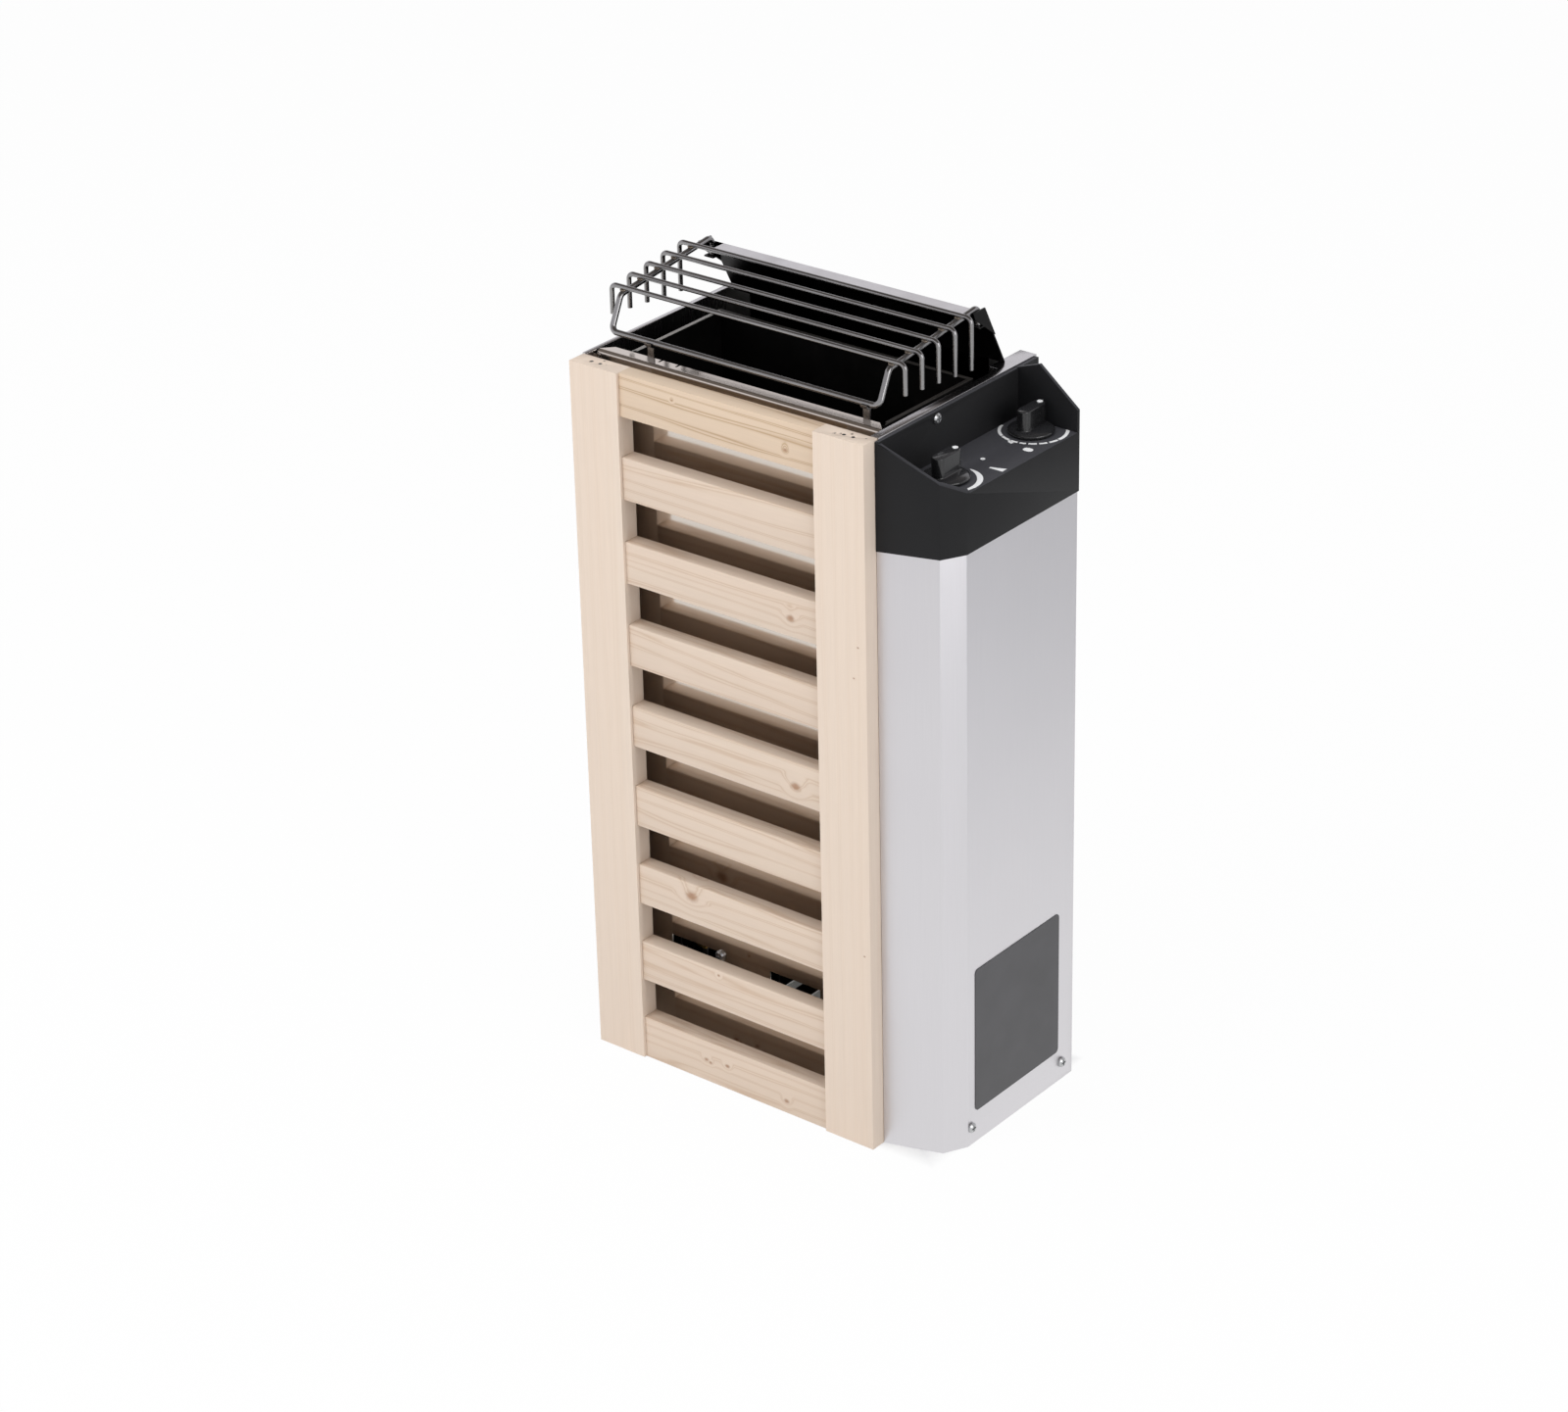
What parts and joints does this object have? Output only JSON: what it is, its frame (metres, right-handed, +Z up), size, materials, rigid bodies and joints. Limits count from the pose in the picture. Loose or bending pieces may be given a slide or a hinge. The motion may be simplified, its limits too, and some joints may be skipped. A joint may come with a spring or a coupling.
{
  "type": "sauna heater stove",
  "caption": "Small electric wall sauna heater: slatted wooden front, open stone chamber in a steel body, lift-off wire guard, rear deflector and a side housing with two dials",
  "frame": {"origin": "centre of the footprint, at the height of the heater's lower edges", "axes": "X to the right seen from the front, with the control housing at +X; Y from the wooden front back to the wall; Z up"},
  "size_m": [0.2855, 0.181, 0.5471],
  "materials": {
    "pine": "planed, unfinished",
    "stainless_sheet": "fine brushed",
    "stainless_wire": "drawn, bright",
    "aluminised_steel": "dull, heat darkened",
    "galvanised_steel": "zinc coated",
    "screw_steel": "bright",
    "element_alloy": "oxidised",
    "brass": "plain",
    "copper": "drawn copper",
    "black_plastic": "satin",
    "plate_paint": "satin",
    "ivory_plastic": "matt",
    "red_plastic": "gloss",
    "wire_insulation": "matt silicone",
    "black_rubber": "matt"
  },
  "bodies": {
    "heater": {"stile_left": "pine", "stile_right": "pine", "top_rail": "pine", "slat_1": "pine", "slat_2": "pine", "slat_3": "pine", "slat_4": "pine", "slat_5": "pine", "slat_6": "pine", "slat_7": "pine", "bottom_rail": "pine", "brads": "screw_steel", "wood_standoffs": "screw_steel", "front_sheet_screws": "screw_steel", "left_side_panel": "stainless_sheet", "right_side_panel": "stainless_sheet", "front_sheet": "stainless_sheet", "back_sheet": "aluminised_steel", "base_plate": "aluminised_steel", "chamber_left_wall": "aluminised_steel", "chamber_right_wall": "aluminised_steel", "chamber_front_wall": "aluminised_steel", "chamber_back_wall": "aluminised_steel", "stone_grate": "aluminised_steel", "wall_spacers": "galvanised_steel", "deflector": "stainless_sheet", "guard_clips": "stainless_sheet", "heating_element_1": "element_alloy", "heating_element_2": "element_alloy", "heating_element_3": "element_alloy", "element_brackets": "galvanised_steel", "bus_bar": "brass", "housing_cover": "stainless_sheet", "housing_base": "galvanised_steel", "control_cap": "black_plastic", "housing_screws": "screw_steel", "data_plate": "plate_paint", "thermostat_body": "ivory_plastic", "thermostat_sensor": "copper", "timer_body": "ivory_plastic", "limiter_body": "ivory_plastic", "limiter_sensor": "copper", "terminal_block": "ivory_plastic", "cable_gland": "black_plastic", "gland_nut": "black_plastic", "power_wires": "wire_insulation", "partition_grommets": "black_rubber", "wall_bracket": "galvanised_steel", "back_rails": "galvanised_steel"},
    "guard": {"guard_frame": "stainless_wire", "guard_wire_1": "stainless_wire", "guard_wire_2": "stainless_wire", "guard_wire_3": "stainless_wire", "guard_wire_4": "stainless_wire", "guard_wire_5": "stainless_wire"},
    "thermostat_dial": {"thermostat_spindle": "screw_steel", "thermostat_knob": "black_plastic"},
    "timer_dial": {"timer_spindle": "screw_steel", "timer_knob": "black_plastic"},
    "reset": {"reset_button": "red_plastic"}
  },
  "joints": [
    {"name": "guard_lift", "type": "slide", "parent": "heater", "child": "guard", "axis": [0, 0, 1], "range_m": [0, 0.08]},
    {"name": "thermostat_turn", "type": "hinge", "parent": "heater", "child": "thermostat_dial", "pos_m": [0.117, 0.0495, 0.4665], "axis": [0, 0, -1], "range_deg": [0, 270]},
    {"name": "timer_turn", "type": "hinge", "parent": "heater", "child": "timer_dial", "pos_m": [0.117, -0.0395, 0.4665], "axis": [0, 0, -1], "range_deg": [0, 300]},
    {"name": "reset_press", "type": "slide", "parent": "heater", "child": "reset", "axis": [0, 0, 1], "range_m": [0, 0.002], "stiffness_N_per_m": 400, "springref_m": -0.001}
  ]
}
